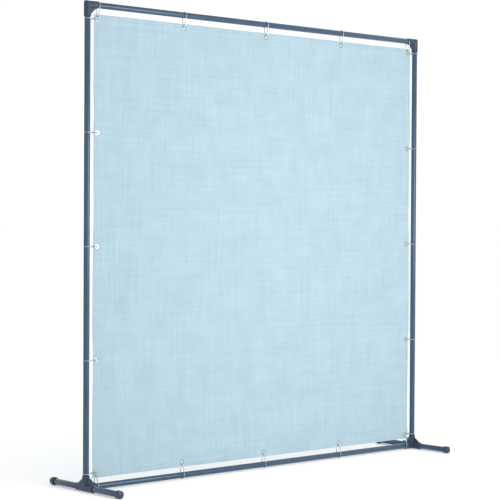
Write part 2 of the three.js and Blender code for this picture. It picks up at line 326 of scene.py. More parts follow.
def close_ends(sides: int) -> None:
    """Closes the open ends of a shape that is open in edit mode."""
    bpy.ops.mesh.select_all(action="SELECT")
    bpy.ops.mesh.fill_holes(sides=sides)


def turned(name: str, profile: list[Range], sides: int, loop: bool) -> Piece:
    """A shape turned about the Y axis, drawn out ring by ring from a circle.

    Args:
        name: The shape's name.
        profile: The outline's points, each a radius and a place along Y.
        sides: How many sides each ring has.
        loop: Whether the outline closes on itself; otherwise both its ends are closed with a face.

    Returns:
        The turned piece.
    """
    points = [*profile, profile[0]] if loop else profile
    radius, y = points[0]
    piece = circle(name, radius, sides, (0, y, 0), (math.pi / 2, 0, 0))
    with editing(piece):
        for next_radius, next_y in points[1:]:
            share = next_radius / radius
            bpy.ops.mesh.extrude_region_move(TRANSFORM_OT_translate={"value": (0, next_y - y, 0)})
            bpy.ops.transform.resize(value=(share, 1, share), center_override=(0, next_y, 0))
            radius, y = next_radius, next_y
        if not loop:
            close_ends(sides)
    merge_and_face_out(piece)
    return piece


def arc(centre: Range, radius: float, start: float, end: float, steps: int) -> list[Range]:
    """The points on an arc from one angle to another, in degrees, with both ends."""
    angles = [math.radians(start + (end - start) * i / steps) for i in range(steps + 1)]
    return [(centre[0] + radius * math.cos(a), centre[1] + radius * math.sin(a)) for a in angles]


def dress(piece: Piece, finish: Finish) -> None:
    """Gives a piece one finish all over."""
    piece.data.materials.clear()
    piece.data.materials.append(finish)


def stand_in(piece: Piece, body: str, node: str) -> None:
    """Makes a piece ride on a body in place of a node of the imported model.

    Args:
        piece: The finished piece.
        body: The body that carries it.
        node: The node that it stands for.
    """
    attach(piece, body)
    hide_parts(node)
    log.info("%s stands for %s: %d faces", piece.name, node, len(piece.data.polygons))


def set_copies(
    pattern: Piece,
    finish: Finish,
    ending: str,
    places: dict[str, Matrix],
    body: str | None = None,
) -> list[Piece]:
    """Dresses a pattern, sets a copy of it in place of each node, and takes the pattern away.

    Args:
        pattern: The pattern piece.
        finish: Its material.
        ending: The word that follows the node's name in the name of its copy.
        places: Where the copy for each node goes.
        body: The body that carries them all; without it each rides on the body named for its node.

    Returns:
        The copies.
    """
    dress(pattern, finish)
    made = []
    for node, place in places.items():
        piece = copy_to(pattern, f"{node}_{ending}", place)
        stand_in(piece, body or node, node)
        made.append(piece)
    bpy.data.objects.remove(pattern, do_unlink=True)
    return made


def centre_of(node: str) -> Vector:
    """The middle of a node's box."""
    low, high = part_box(node)
    return (low + high) / 2


# ---- Finishes ----------------------------------------


@dataclass(frozen=True)
class Noise:
    """How fine a noise is, how many finer layers it has and how strong they are."""

    scale: float
    detail: float = 2
    rough: float = 0.5


class Recipe:
    """Builds one node material, step by step."""

    def __init__(self, name: str) -> None:
        """Starts an empty material with its shader.

        Args:
            name: The material's name.
        """
        self.material = bpy.data.materials.new(name)
        self.material.use_nodes = True
        self.tree = self.material.node_tree
        self.tree.nodes.clear()
        self.shader = self.node("ShaderNodeBsdfPrincipled")
        self.node("ShaderNodeOutputMaterial", Surface=self.shader.outputs["BSDF"])

    def feed(self, socket: Socket, value: object) -> None:
        """Links a socket to another or sets its value; a plain colour becomes an opaque one.

        Args:
            socket: The input.
            value: An output socket, or a plain value.
        """
        if isinstance(value, bpy.types.NodeSocket):
            self.tree.links.new(value, socket)
        elif socket.type == "RGBA":
            socket.default_value = (*value, 1.0)
        else:
            socket.default_value = value

    def fill(self, node: bpy.types.Node, **inputs: object) -> None:
        """Feeds a node's inputs by their names, where an underscore stands for a space."""
        for key, value in inputs.items():
            self.feed(node.inputs[key.replace("_", " ")], value)

    def node(self, kind: str, options: dict[str, str] | None = None, **inputs: object) -> bpy.types.Node:
        """Adds a node, sets its options and feeds its inputs.

        Args:
            kind: The node's type.
            options: The node's options.
            **inputs: What each input is fed.

        Returns:
            The node.
        """
        made = self.tree.nodes.new(kind)
        for key, value in (options or {}).items():
            setattr(made, key, value)
        self.fill(made, **inputs)
        return made

    def place(self, source: str = "Object", scale: Point = (1, 1, 1), turn: Point = (0, 0, 0)) -> Socket:
        """Object or UV coordinates, stretched along each axis, and turned about it in radians."""
        at = self.node("ShaderNodeTexCoord").outputs[source]
        return self.node("ShaderNodeMapping", Vector=at, Scale=scale, Rotation=turn).outputs["Vector"]

    def apart(self, at: Socket) -> bpy.types.NodeOutputs:
        """Takes coordinates apart into X, Y and Z."""
        return self.node("ShaderNodeSeparateXYZ", Vector=at).outputs

    def noise(self, at: Socket, kind: Noise) -> Socket:
        """Noise of one kind, at a place."""
        inputs = {"Scale": kind.scale, "Detail": kind.detail, "Roughness": kind.rough}
        return self.node("ShaderNodeTexNoise", Vector=at, **inputs).outputs["Fac"]

    def sum(self, operation: str, *values: object) -> Socket:
        """One step of arithmetic.

        Args:
            operation: Blender's name for it.
            *values: The numbers or sockets it takes.

        Returns:
            The result.
        """
        made = self.node("ShaderNodeMath", {"operation": operation})
        for socket, value in zip(made.inputs, values):
            self.feed(socket, value)
        return made.outputs["Value"]

    def weigh(self, *parts: tuple[Socket, float]) -> Socket:
        """Adds values up, each by its weight.

        Args:
            *parts: Each value with its weight.

        Returns:
            The total.
        """
        total = 0.0
        for value, weight in parts:
            total = self.sum("MULTIPLY_ADD", value, weight, total)
        return total

    def spread(self, value: Socket, across: Range, to: Range = (0, 1)) -> Socket:
        """Carries one range of values to another, and stops at its ends."""
        ends = {"From_Min": across[0], "From_Max": across[1], "To_Min": to[0], "To_Max": to[1]}
        return self.node("ShaderNodeMapRange", Value=value, **ends).outputs["Result"]

    def blend(self, share: object, first: object, second: object, kind: str = "MIX") -> Socket:
        """Mixes two colours, where the share is how much of the second one there is."""
        options = {"data_type": "RGBA", "blend_type": kind}
        return self.node("ShaderNodeMix", options, Factor=share, A=first, B=second).outputs["Result"]

    def bump(self, height: Socket, depth: float, strength: float, **under: Socket) -> Socket:
        """Turns a height from 0 to 1 into a normal, bumped to a depth and laid over another Normal."""
        made = self.node("ShaderNodeBump", Strength=strength, Distance=depth, Height=height, **under)
        return made.outputs["Normal"]

    def finish(self, **inputs: object) -> Finish:
        """Feeds the shader's inputs, and hands over the material."""
        self.fill(self.shader, **inputs)
        return self.material


@dataclass(frozen=True)
class PowderCoat:
    """Satin blue-grey powder coat on steel pipe, with a fine orange peel and faint scuffs."""

    deep: Colour = (0.021, 0.054, 0.098)
    pale: Colour = (0.030, 0.072, 0.127)
    scuff: Colour = (0.10, 0.14, 0.19)
    cloud: Noise = Noise(14, 3, 0.6)
    cloud_share: float = 0.65
    speck: Noise = Noise(420)
    speck_share: float = 0.35
    rub: Noise = Noise(1.4, 6, 0.68)
    rub_scale: Point = (60, 60, 60)
    rub_turn: Point = (0.5, 0.2, 0.8)
    rubbed: Range = (0.665, 0.74)
    scuff_most: float = 0.55
    peel: Noise = Noise(650)
    peel_depth: float = 0.05 * MM
    peel_strength: float = 0.5
    gloss: Range = (0.28, 0.38)

    def make(self) -> Finish:
        """Builds the finish.

        Returns:
            The material.
        """
        recipe = Recipe("pipe_powder_coat")
        at = recipe.place()
        cloud = recipe.noise(at, self.cloud)
        tone = recipe.weigh((cloud, self.cloud_share), (recipe.noise(at, self.speck), self.speck_share))
        paint = recipe.blend(recipe.spread(tone, MIDDLE_OF_NOISE), self.deep, self.pale)
        rub = recipe.noise(recipe.place(scale=self.rub_scale, turn=self.rub_turn), self.rub)
        worn = recipe.spread(rub, self.rubbed, (0, self.scuff_most))
        return recipe.finish(
            Base_Color=recipe.blend(worn, paint, self.scuff),
            Roughness=recipe.spread(cloud, MOST_OF_NOISE, self.gloss),
            Normal=recipe.bump(recipe.noise(at, self.peel), self.peel_depth, self.peel_strength),
            Specular_IOR_Level=0.28,
            Coat_Weight=0.3,
            Coat_Roughness=0.14,
        )


@dataclass(frozen=True)
class MouldedPlastic:
    """Dark injection-moulded plastic with a spark-eroded grain and, round a joint, a fine parting line."""

    name: str
    deep: Colour
    pale: Colour
    cloud: Noise = Noise(22, 3, 0.6)
    wear: Noise = Noise(60, 4)
    grain: Noise = Noise(900, 3)
    grain_depth: float = 0.05 * MM
    grain_strength: float = 0.6
    parting_half_width: float = 0.25 * MM
    parting_height: float = 0.12 * MM
    parting_strength: float = 0.8
    gloss: Range = (0.34, 0.46)

    def make(self, parting: bool) -> Finish:
        """Builds the finish.

        Args:
            parting: Whether a parting line runs round the piece on the plane Y = 0.

        Returns:
            The material.
        """
        recipe = Recipe(self.name)
        at = recipe.place()
        cloud = recipe.noise(at, self.cloud)
        grain = recipe.bump(recipe.noise(at, self.grain), self.grain_depth, self.grain_strength)
        if parting:
            away = recipe.sum("ABSOLUTE", recipe.apart(at)["Y"])
            ridge = recipe.spread(away, (0, self.parting_half_width), (1, 0))
            grain = recipe.bump(ridge, self.parting_height, self.parting_strength, Normal=grain)
        return recipe.finish(
            Base_Color=recipe.blend(recipe.spread(cloud, MIDDLE_OF_NOISE), self.deep, self.pale),
            Roughness=recipe.spread(recipe.noise(at, self.wear), MOST_OF_NOISE, self.gloss),
            Normal=grain,
            Specular_IOR_Level=0.4,
        )


@dataclass(frozen=True)
class BrightMetal:
    """Bright metal with a little tarnish and fine lines from its working."""

    name: str
    bright: Colour
    dull: Colour
    spots: Noise
    tarnished: Range
    tarnish_most: float
    wear: Noise
    gloss: Range
    lines: Noise
    line_depth: float = 0.004 * MM
    line_strength: float = 0.3

    def make(self) -> Finish:
        """Builds the finish.

        Returns:
            The material.
        """
        recipe = Recipe(self.name)
        at = recipe.place()
        tarnish = recipe.spread(recipe.noise(at, self.spots), self.tarnished, (0, self.tarnish_most))
        return recipe.finish(
            Base_Color=recipe.blend(tarnish, self.bright, self.dull),
            Roughness=recipe.spread(recipe.noise(at, self.wear), MOST_OF_NOISE, self.gloss),
            Normal=recipe.bump(recipe.noise(at, self.lines), self.line_depth, self.line_strength),
            Metallic=1.0,
        )


SPRING_WIRE = BrightMetal(
    name="spring_wire",
    bright=(0.47, 0.48, 0.50),
    dull=(0.28, 0.29, 0.31),
    spots=Noise(90, 3),
    tarnished=(0.45, 0.75),
    tarnish_most=0.5,
    wear=Noise(300, 3),
    gloss=(0.2, 0.34),
    lines=Noise(900, 1),
)

EYELET_PLATE = BrightMetal(
    name="plated_eyelet",
    bright=(0.40, 0.455, 0.465),
    dull=(0.27, 0.315, 0.325),
    spots=Noise(240, 4),
    tarnished=(0.4, 0.7),
    tarnish_most=0.7,
    wear=Noise(500),
    gloss=(0.16, 0.3),
    lines=Noise(700, 1),
)


@dataclass(frozen=True)
class WovenMesh:
    """Pale blue plain weave of flat coated yarn, with uneven yarns that show as faint streaks, and painted
    shade in the gaps between the yarns.
    """

    yarn: Colour = (0.342, 0.468, 0.528)
    shade: Colour = (0.287, 0.402, 0.461)
    pitch: float = 1.6 * MM
    depth: float = 0.16 * MM
    strength: float = 0.5
    flatness: float = 0.6
    dip: Range = (0.45, 1)
    streaks: Noise = Noise(1, 3, 0.6)
    streak_across: float = 70
    streak_along: float = 3.5
    upright_share: float = 0.33
    across_share: float = 0.29
    cloud: Noise = Noise(1, 5, 0.62)
    cloud_scale: float = 9
    cloud_share: float = 0.38
    contrast: Range = (0.38, 0.62)
    # Painted shade in the gaps between the yarns: the weave height below which it starts, and how dark it
    # gets.
    gap_depth: float = 0.55
    gap_tone: Range = (0.82, 1)
    gloss: Range = (0.85, 0.62)

    def make(self, width: float, height: float) -> Finish:
        """Builds the finish on the sheet's own UV map.

        Args:
            width: The sheet's width, which one turn of the map spans.
            height: The sheet's height.

        Returns:
            The material.
        """
        recipe = Recipe("woven_curtain")

        def stretched(across: float, up: float) -> Socket:
            """The sheet's coordinates, with so many turns to the metre across it and up it."""
            return recipe.place("UV", (width * across, height * up, 1))

        def yarn(axis: str) -> Socket:
            """The round backs of the yarns that lie side by side along one axis."""
            wave = recipe.sum("SINE", recipe.sum("MULTIPLY", recipe.apart(yarns)[axis], math.pi))
            return recipe.sum("ABSOLUTE", wave)

        def on_top(upper: Socket, lower: Socket) -> Socket:
            """The height of a yarn where it passes over another."""
            back = recipe.sum("POWER", upper, self.flatness)
            return recipe.sum("MULTIPLY", back, recipe.spread(lower, (0, 1), self.dip))

        yarns = recipe.place("UV", (width / self.pitch, height / self.pitch, 1))
        warp, weft = yarn("X"), yarn("Y")
        over = recipe.node(
            "ShaderNodeTexChecker", Vector=yarns, Scale=1, Color1=(1, 1, 1), Color2=(0, 0, 0)
        ).outputs["Fac"]
        weave = recipe.node(
            "ShaderNodeMix", {"data_type": "FLOAT"}, Factor=over, A=on_top(weft, warp), B=on_top(warp, weft)
        ).outputs["Result"]

        upright = recipe.noise(stretched(self.streak_across, self.streak_along), self.streaks)
        across = recipe.noise(stretched(self.streak_along, self.streak_across), self.streaks)
        cloud = recipe.noise(stretched(self.cloud_scale, self.cloud_scale), self.cloud)
        shares = (self.upright_share, self.across_share, self.cloud_share)
        tone = recipe.weigh(*zip((upright, across, cloud), shares))
        plain = recipe.blend(recipe.spread(tone, self.contrast), self.shade, self.yarn)
        # Painted shade: the cloth is darkened where the weave sinks, in the gaps between the yarns.
        gap_shade = recipe.spread(weave, (0, self.gap_depth), self.gap_tone)
        painted_gap_shade = recipe.node("ShaderNodeCombineColor", Red=gap_shade, Green=gap_shade, Blue=gap_shade).outputs["Color"]
        return recipe.finish(
            Base_Color=recipe.blend(1.0, plain, painted_gap_shade, "MULTIPLY"),
            Roughness=recipe.spread(weave, (0, 1), self.gloss),
            Normal=recipe.bump(weave, self.depth, self.strength),
            Sheen_Weight=0.12,
            Sheen_Roughness=0.5,
            Specular_IOR_Level=0.3,
        )


@dataclass(frozen=True)
class SewingThread:
    """Pale blue polyester thread with a visible twist, and painted shade in the hollows of the twist."""

    # The pale colour is the twist's crests; the deep one is painted shade in its hollows.
    pale: Colour = (0.62, 0.77, 0.84)
    deep: Colour = (0.44, 0.62, 0.72)
    twist: Noise = Noise(2600, 1)
    twist_turn: Point = (0.6, 0.6, 0.6)
    twist_tone: Range = (0.4, 0.6)
    twist_depth: float = 0.05 * MM
    twist_strength: float = 0.6
    gloss: Range = (0.5, 0.7)

    def make(self) -> Finish:
        """Builds the finish.

        Returns:
            The material.
        """
        recipe = Recipe("sewing_thread")
        twist = recipe.noise(recipe.place(turn=self.twist_turn), self.twist)
        return recipe.finish(
            # Painted shade: the colour follows the twist bump, darker in its hollows.
            Base_Color=recipe.blend(recipe.spread(twist, self.twist_tone), self.deep, self.pale),
            Roughness=recipe.spread(twist, MOST_OF_NOISE, self.gloss),
            Normal=recipe.bump(twist, self.twist_depth, self.twist_strength),
            Sheen_Weight=0.2,
        )


@dataclass(frozen=True)
class StudioFloor:
    """Plain pale floor, lit a little from beneath, with the faintest unevenness."""

    colour: Colour = (0.85, 0.85, 0.85)
    darker: float = 0.985
    cloud: Noise = Noise(0.8)
    glow: float = 0.22
    gloss: Range = (0.75, 0.85)

    def make(self) -> Finish:
        """Builds the finish.

        Returns:
            The material.
        """
        recipe = Recipe("studio_floor")
        cloud = recipe.noise(recipe.place(), self.cloud)
        return recipe.finish(
            Base_Color=recipe.blend(cloud, tuple(self.darker * c for c in self.colour), self.colour),
            Roughness=recipe.spread(cloud, MOST_OF_NOISE, self.gloss),
            Emission_Color=(1, 1, 1),
            Emission_Strength=self.glow,
        )


# ---- The studio ----------------------------------------


@dataclass(frozen=True)
class Softbox:
    """One square light, from where it hangs to what it faces."""

    name: str
    place: Point
    aim: Point
    size: float
    power: float

    def hang(self) -> None:
        """Hangs the light and turns it to its aim."""
        bpy.ops.object.light_add(type="AREA", location=self.place)
        light = bpy.context.active_object
        light.name = self.name
        light.data.size = self.size
        light.data.energy = self.power
        way = Vector(self.aim) - Vector(self.place)
        light.rotation_euler = way.to_track_quat("-Z", "Y").to_euler()


@dataclass
class Studio:
    """The camera, the floor and the light: white at the height of the eye, and dimmer overhead."""

    eye: Point = (-4.857, -5.297, 1.1025)
    aim: Point = (-0.0895, 0.0, 0.979)
    roll_degrees: float = 0.304
    lens_mm: float = 115.56
    sensor_mm: float = 36
    sees_to: float = 500
    floor_size: float = 400
    sky_level: float = 1.05
    sky_overhead: float = 0.8
    sky_turn: float = 0.28
    softboxes: tuple[Softbox, ...] = (
        Softbox("front_softbox", place=(0.25, -3.0, 1.4), aim=(0.2, 0, 1.3), size=1.6, power=66),
        Softbox("rear_softbox", place=(1.2, 4.6, 3.2), aim=(0, 0, 1.0), size=2.5, power=22),
    )

    def place_camera(self) -> None:
        """Stands the camera in front of the screen, to the left of it."""
        eye = Vector(self.eye)
        bpy.ops.object.camera_add(location=eye)
        camera = bpy.context.active_object
        camera.name = "studio_camera"
        look = (Vector(self.aim) - eye).to_track_quat("-Z", "Y").to_matrix().to_4x4()
        roll = Matrix.Rotation(math.radians(self.roll_degrees), 4, "Z")
        camera.matrix_world = Matrix.Translation(eye) @ look @ roll
        camera.data.lens = self.lens_mm
        camera.data.sensor_width = self.sensor_mm
        camera.data.clip_end = self.sees_to
        bpy.context.scene.camera = camera
        log.info("camera stands at %s", self.eye)

    def lay_floor(self) -> None:
        """Lays the floor under the caps."""
        bpy.ops.mesh.primitive_plane_add(size=self.floor_size, location=(0, 0, 0))
        floor = newest("studio_floor")
        dress(floor, StudioFloor().make())

    def light(self) -> None:
        """Lights the screen from all round, then softly from in front and, with less, from behind."""
        world = bpy.data.worlds.new("studio_sky")
        world.use_nodes = True
        nodes, links = world.node_tree.nodes, world.node_tree.links
        way = nodes.new("ShaderNodeTexCoord")
        split = nodes.new("ShaderNodeSeparateXYZ")
        fall = nodes.new("ShaderNodeMapRange")
        fall.inputs["From Min"].default_value = self.sky_turn
        fall.inputs["From Max"].default_value = 1
        fall.inputs["To Min"].default_value = self.sky_level
        fall.inputs["To Max"].default_value = self.sky_overhead
        links.new(way.outputs["Generated"], split.inputs["Vector"])
        links.new(split.outputs["Z"], fall.inputs["Value"])
        links.new(fall.outputs["Result"], nodes["Background"].inputs["Strength"])
        nodes["Background"].inputs["Color"].default_value = (1, 1, 1, 1)
        bpy.context.scene.world = world
        bpy.context.scene.view_settings.view_transform = "Standard"
        for softbox in self.softboxes:
            softbox.hang()


# ---- The pipe frame ----------------------------------------


@dataclass
class PipeFrame:
    """The eight steel pipes of the frame and its feet."""

    wall: float = 1.2 * MM
    sides: int = 96
    edge: float = 0.25 * MM

    def names(self) -> list[str]:
        """The pipes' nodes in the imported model."""
        feet = [f"{side.word}_{end.word}_foot" for side in Side for end in End]
        return ["left_post", "right_post", "top_rail", "bottom_rail", *feet]

    def pipe(self, node: str) -> Piece:
        """Draws one pipe as long as its node: an open tube that gets its wall and its edges.

        Args:
            node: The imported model's pipe.

        Returns:
            The pipe.
        """
        low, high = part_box(node)
        size = high - low
        longest = max(range(3), key=lambda i: size[i])
        bpy.ops.mesh.primitive_cylinder_add(
            vertices=self.sides,
            radius=size[(longest + 1) % 3] / 2,
            depth=size[longest],
            end_fill_type="NOTHING",
            location=(low + high) / 2,
            rotation=list(Along)[longest].value.to_track_quat("Z", "Y").to_euler(),
        )
        piece = newest(f"{node}_pipe")
        use_modifier(piece, "SOLIDIFY", thickness=self.wall, offset=-1)
        ease_edges(piece, self.edge, segments=2)
        shade(piece)
        return piece

    def build(self, finish: Finish) -> None:
        """Makes and dresses every pipe.

        Args:
            finish: The powder coat.
        """
        for node in self.names():
            piece = self.pipe(node)
            dress(piece, finish)
            stand_in(piece, "frame", node)


# ---- Moulded joints ----------------------------------------


@dataclass
class MouldedJoints:
    """The two upper elbows and the two base joints, each modelled about its own corner point."""

    pipe_radius: float = 12.7 * MM
    fit_gap: float = 0.3 * MM
    socket_wall: float = 2.4 * MM
    collar_rise: float = 0.6 * MM
    collar_length: float = 5 * MM
    stop: float = 17 * MM
    web_thickness: float = 9 * MM
    web_setback: float = 2 * MM
    corner_ball: float = 18.6 * MM
    mitre_merge: float = 0.02 * MM
    grain: float = 0.75 * MM
    soften: int = 9
    lead_in: float = 0.5 * MM
    drill_past: float = 1 * MM
    drill_sides: int = 96

    def __post_init__(self) -> None:
        """Works out the radii, and reads each arm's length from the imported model."""
        self.bore = self.pipe_radius + self.fit_gap
        self.socket = self.bore + self.socket_wall
        self.collar = self.socket + self.collar_rise
        self.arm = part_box("left_top_elbow")[1].x - centre_of("left_post").x
        low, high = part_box("left_base_joint")
        self.foot_arm = (high.y - low.y) / 2

    def web_reach(self, arm: float) -> float:
        """How far a gusset runs along an arm."""
        return arm - self.collar_length - self.web_setback

    def bead(self, way: Vector, arm: float) -> Piece:
        """The rounded bead round a socket's mouth.

        Args:
            way: The way the socket points.
            arm: How far its mouth is from the corner point.

        Returns:
            The bead.
        """
        piece = rod("bead", self.collar, way * (arm - self.collar_length), way * arm)
        ease_edges(piece, self.collar_rise, segments=3)
        return piece

    def web(self, across: Vector, up: Vector, across_reach: float, up_reach: float) -> Piece:
        """The gusset between two sockets: a block with its outer corner cut away.

        Args:
            across: The way one socket points.
            up: The way the other points.
            across_reach: How far the gusset runs along the first.
            up_reach: How far it runs along the second.

        Returns:
            The gusset.
        """
        beside = across.cross(up)
        half = beside * self.web_thickness / 2
        corners = (half, -half, across * across_reach + up * up_reach + half)
        piece = block("web", Vector([*map(min, *corners)]), Vector([*map(max, *corners)]))
        root = self.socket - self.collar_rise
        first = across * across_reach + up * root
        second = across * root + up * up_reach
        inward = (first - second).cross(beside).normalized()
        if inward.dot(first) > 0:
            inward = -inward
        cut_plane(piece, first, inward, fill=True)
        return piece

    def mould(self, parts: list[Piece], arms: list[tuple[Vector, float]]) -> Piece:
        """Runs a joint's parts together, softens where they meet, and bores each socket to its stop.

        Args:
            parts: The joint's parts, each closed and lying over its neighbours.
            arms: The way and the length of each socket.

        Returns:
            The joint in one piece, with a small step round each mouth.
        """
        piece = join(parts, parts[0].name)
        use_modifier(piece, "REMESH", mode="VOXEL", voxel_size=self.grain, adaptivity=0)
        use_modifier(piece, "SMOOTH", factor=0.5, iterations=self.soften)
        for way, arm in arms:
            for radius, start in ((self.bore, self.stop), (self.bore + self.lead_in, arm - self.lead_in)):
                drill = rod("drill", radius, way * start, way * (arm + self.drill_past), self.drill_sides)
                combine(piece, drill, "DIFFERENCE")
        shade(piece)
        return piece

    def elbow(self) -> Piece:
        """The upper left elbow, with one socket to +X and one down.

        Returns:
            The elbow.
        """
        right, down = Along.X.value, -Along.Z.value
        mitre = (right - down).normalized()
        halves = []
        for way, side in ((right, mitre), (down, -mitre)):
            half = rod("mitred_arm", self.socket, -way * 2 * self.socket, way * self.arm)
            cut_plane(half, Vector(), side, fill=False)
            halves.append(half)
        corner = join(halves, "elbow_pattern")
        merge_and_face_out(corner, self.mitre_merge)
        bpy.ops.mesh.primitive_uv_sphere_add(segments=64, ring_count=32, radius=self.corner_ball)
        combine(corner, newest("corner_ball"), "INTERSECT")
        reach = self.web_reach(self.arm)
        parts = [corner, self.web(right, down, reach, reach)]
        for way in (right, down):
            parts += [rod("arm", self.socket, Vector(), way * self.arm), self.bead(way, self.arm)]
        return self.mould(parts, [(right, self.arm), (down, self.arm)])

    def base(self) -> Piece:
        """The left base joint: sockets up, to +X, and both ways along Y.

        Returns:
            The base joint.
        """
        right, rear, up = (along.value for along in Along)
        front = -rear
        arms = [(front, self.foot_arm), (rear, self.foot_arm), (right, self.arm), (up, self.arm)]
        parts = [
            rod("base_pattern", self.socket, front * self.foot_arm, rear * self.foot_arm),
            rod("rail_arm", self.socket, Vector(), right * self.arm),
            rod("post_arm", self.socket, Vector(), up * self.arm),
        ]
        parts += [self.bead(way, arm) for way, arm in arms]
        for way, arm in ((right, self.arm), (front, self.foot_arm), (rear, self.foot_arm)):
            parts.append(self.web(way, up, self.web_reach(arm), self.web_reach(self.arm)))
        return self.mould(parts, arms)

    def build(self, finish: Finish) -> None:
        """Makes one elbow and one base joint, and sets a copy of each at both ends.

        Args:
            finish: The moulded plastic.
        """
        for pattern, kind, rail in (
            (self.elbow(), "top_elbow", "top_rail"),
            (self.base(), "base_joint", "bottom_rail"),
        ):
            places = {}
            for side in Side:
                corner = Vector((centre_of(f"{side.word}_post").x, 0, centre_of(rail).z))
                turn = Matrix.Rotation(side.value, 4, "Z")
                places[f"{side.word}_{kind}"] = Matrix.Translation(corner) @ turn
            set_copies(pattern, finish, "moulding", places, "frame")


# ---- Foot caps ----------------------------------------


@dataclass
class FootCaps:
    """The four domed caps on the foot pipes."""

    bore: float = 13.0 * MM
    floor: float = 5.5 * MM
    pole: float = 0.4 * MM
    dome: float = 2.5 * MM
    dome_steps: int = 6
    shoulder: float = 4.0 * MM
    lip: float = 1.0 * MM
    groove: float = 0.5 * MM
    groove_width: float = 1.4 * MM
    groove_from_mouth: float = 5 * MM
    sides: int = 72

    def pattern(self) -> Piece:
        """A cap along Y, with its domed end at y = 0 and its mouth towards +Y.

        Returns:
            The cap.
        """
        low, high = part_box("left_front_cap")
        length, radius = high.y - low.y, (high.z - low.z) / 2
        groove = length - self.groove_from_mouth
        profile = [
            (self.pole, self.floor),
            (self.bore, self.floor),
            (self.bore, length - self.lip / 2),
            (self.bore + self.lip / 2, length),
            *arc((radius - self.lip, length - self.lip), self.lip, 90, 0, 4),
            (radius, groove + self.groove_width),
            (radius - self.groove, groove + self.groove_width * 0.75),
            (radius - self.groove, groove + self.groove_width * 0.25),
            (radius, groove),
            *arc((radius - self.shoulder, self.dome + self.shoulder), self.shoulder, 0, -70, 7),
        ]
        last_radius, last_y = profile[-1]
        for i in range(1, self.dome_steps):
            share = 1 - i / self.dome_steps
            profile.append((last_radius * share, last_y * share**2))
        profile.append((self.pole, 0.0))
        piece = turned("cap_pattern", profile, self.sides, loop=False)
        shade(piece, degrees=40)
        return piece

    def build(self, finish: Finish) -> None:
        """Makes one cap, and sets a copy of it on each foot.

        Args:
            finish: The moulded plastic.
        """
        places = {}
        for side in Side:
            for end in End:
                node = f"{side.word}_{end.word}_cap"
                low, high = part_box(node)
                tip = (low + high) / 2
                tip.y = low.y if end is End.FRONT else high.y
                places[node] = Matrix.Translation(tip) @ Matrix.Rotation(end.value, 4, "Z")
        set_copies(self.pattern(), finish, "moulding", places, "frame")


# ---- Eyelets and rings ----------------------------------------


@dataclass
class Eyelets:
    """The pressed eyelets: a rolled rim in front, a barrel through the cloth and a flat washer behind."""

    hole: float = 6.0 * MM
    wall: float = 0.6 * MM
    roll: float = 1.1 * MM
    cloth_share: float = 0.45
    sides: int = 48

    def names(self) -> list[str]:
        """The eyelets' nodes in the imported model."""
        counts = {"top": 5, "bottom": 5, "left": 3, "right": 3}
        return [f"eyelet_{edge}_{i}" for edge, count in counts.items() for i in range(1, count + 1)]

    def pattern(self) -> Piece:
        """One eyelet about the Y axis, with its rolled rim to the front.

        Returns:
            The eyelet.
        """
        low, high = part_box("eyelet_top_3")
        rim, face = (high.x - low.x) / 2, (high.y - low.y) / 2
        inner = self.cloth_share * face
        profile = [
            *arc((self.hole + self.roll, -face + self.roll), self.roll, 180, 270, 5),
            (rim - self.wall, -face),
            *arc((rim - self.wall, -face + self.wall), self.wall, 290, 360, 3),
            (rim, -inner),
            (self.hole + self.wall, -inner),
            (self.hole + self.wall, inner),
            (rim, inner),
            *arc((rim - self.wall / 2, face - self.wall / 2), self.wall / 2, 0, 90, 3),
            (self.hole + 2 * self.wall, face),
            *arc((self.hole + self.wall, face - self.wall), self.wall, 90, 180, 4),
        ]
        piece = turned("eyelet_pattern", profile, self.sides, loop=True)
        shade(piece, degrees=40)
        return piece

    def build(self, finish: Finish) -> list[Piece]:
        """Makes one eyelet, and sets a copy of it at each place.

        Args:
            finish: The bright plate.

        Returns:
            The eyelets.
        """
        places = {node: Matrix.Translation(centre_of(node)) for node in self.names()}
        return set_copies(self.pattern(), finish, "pressing", places, "curtain")


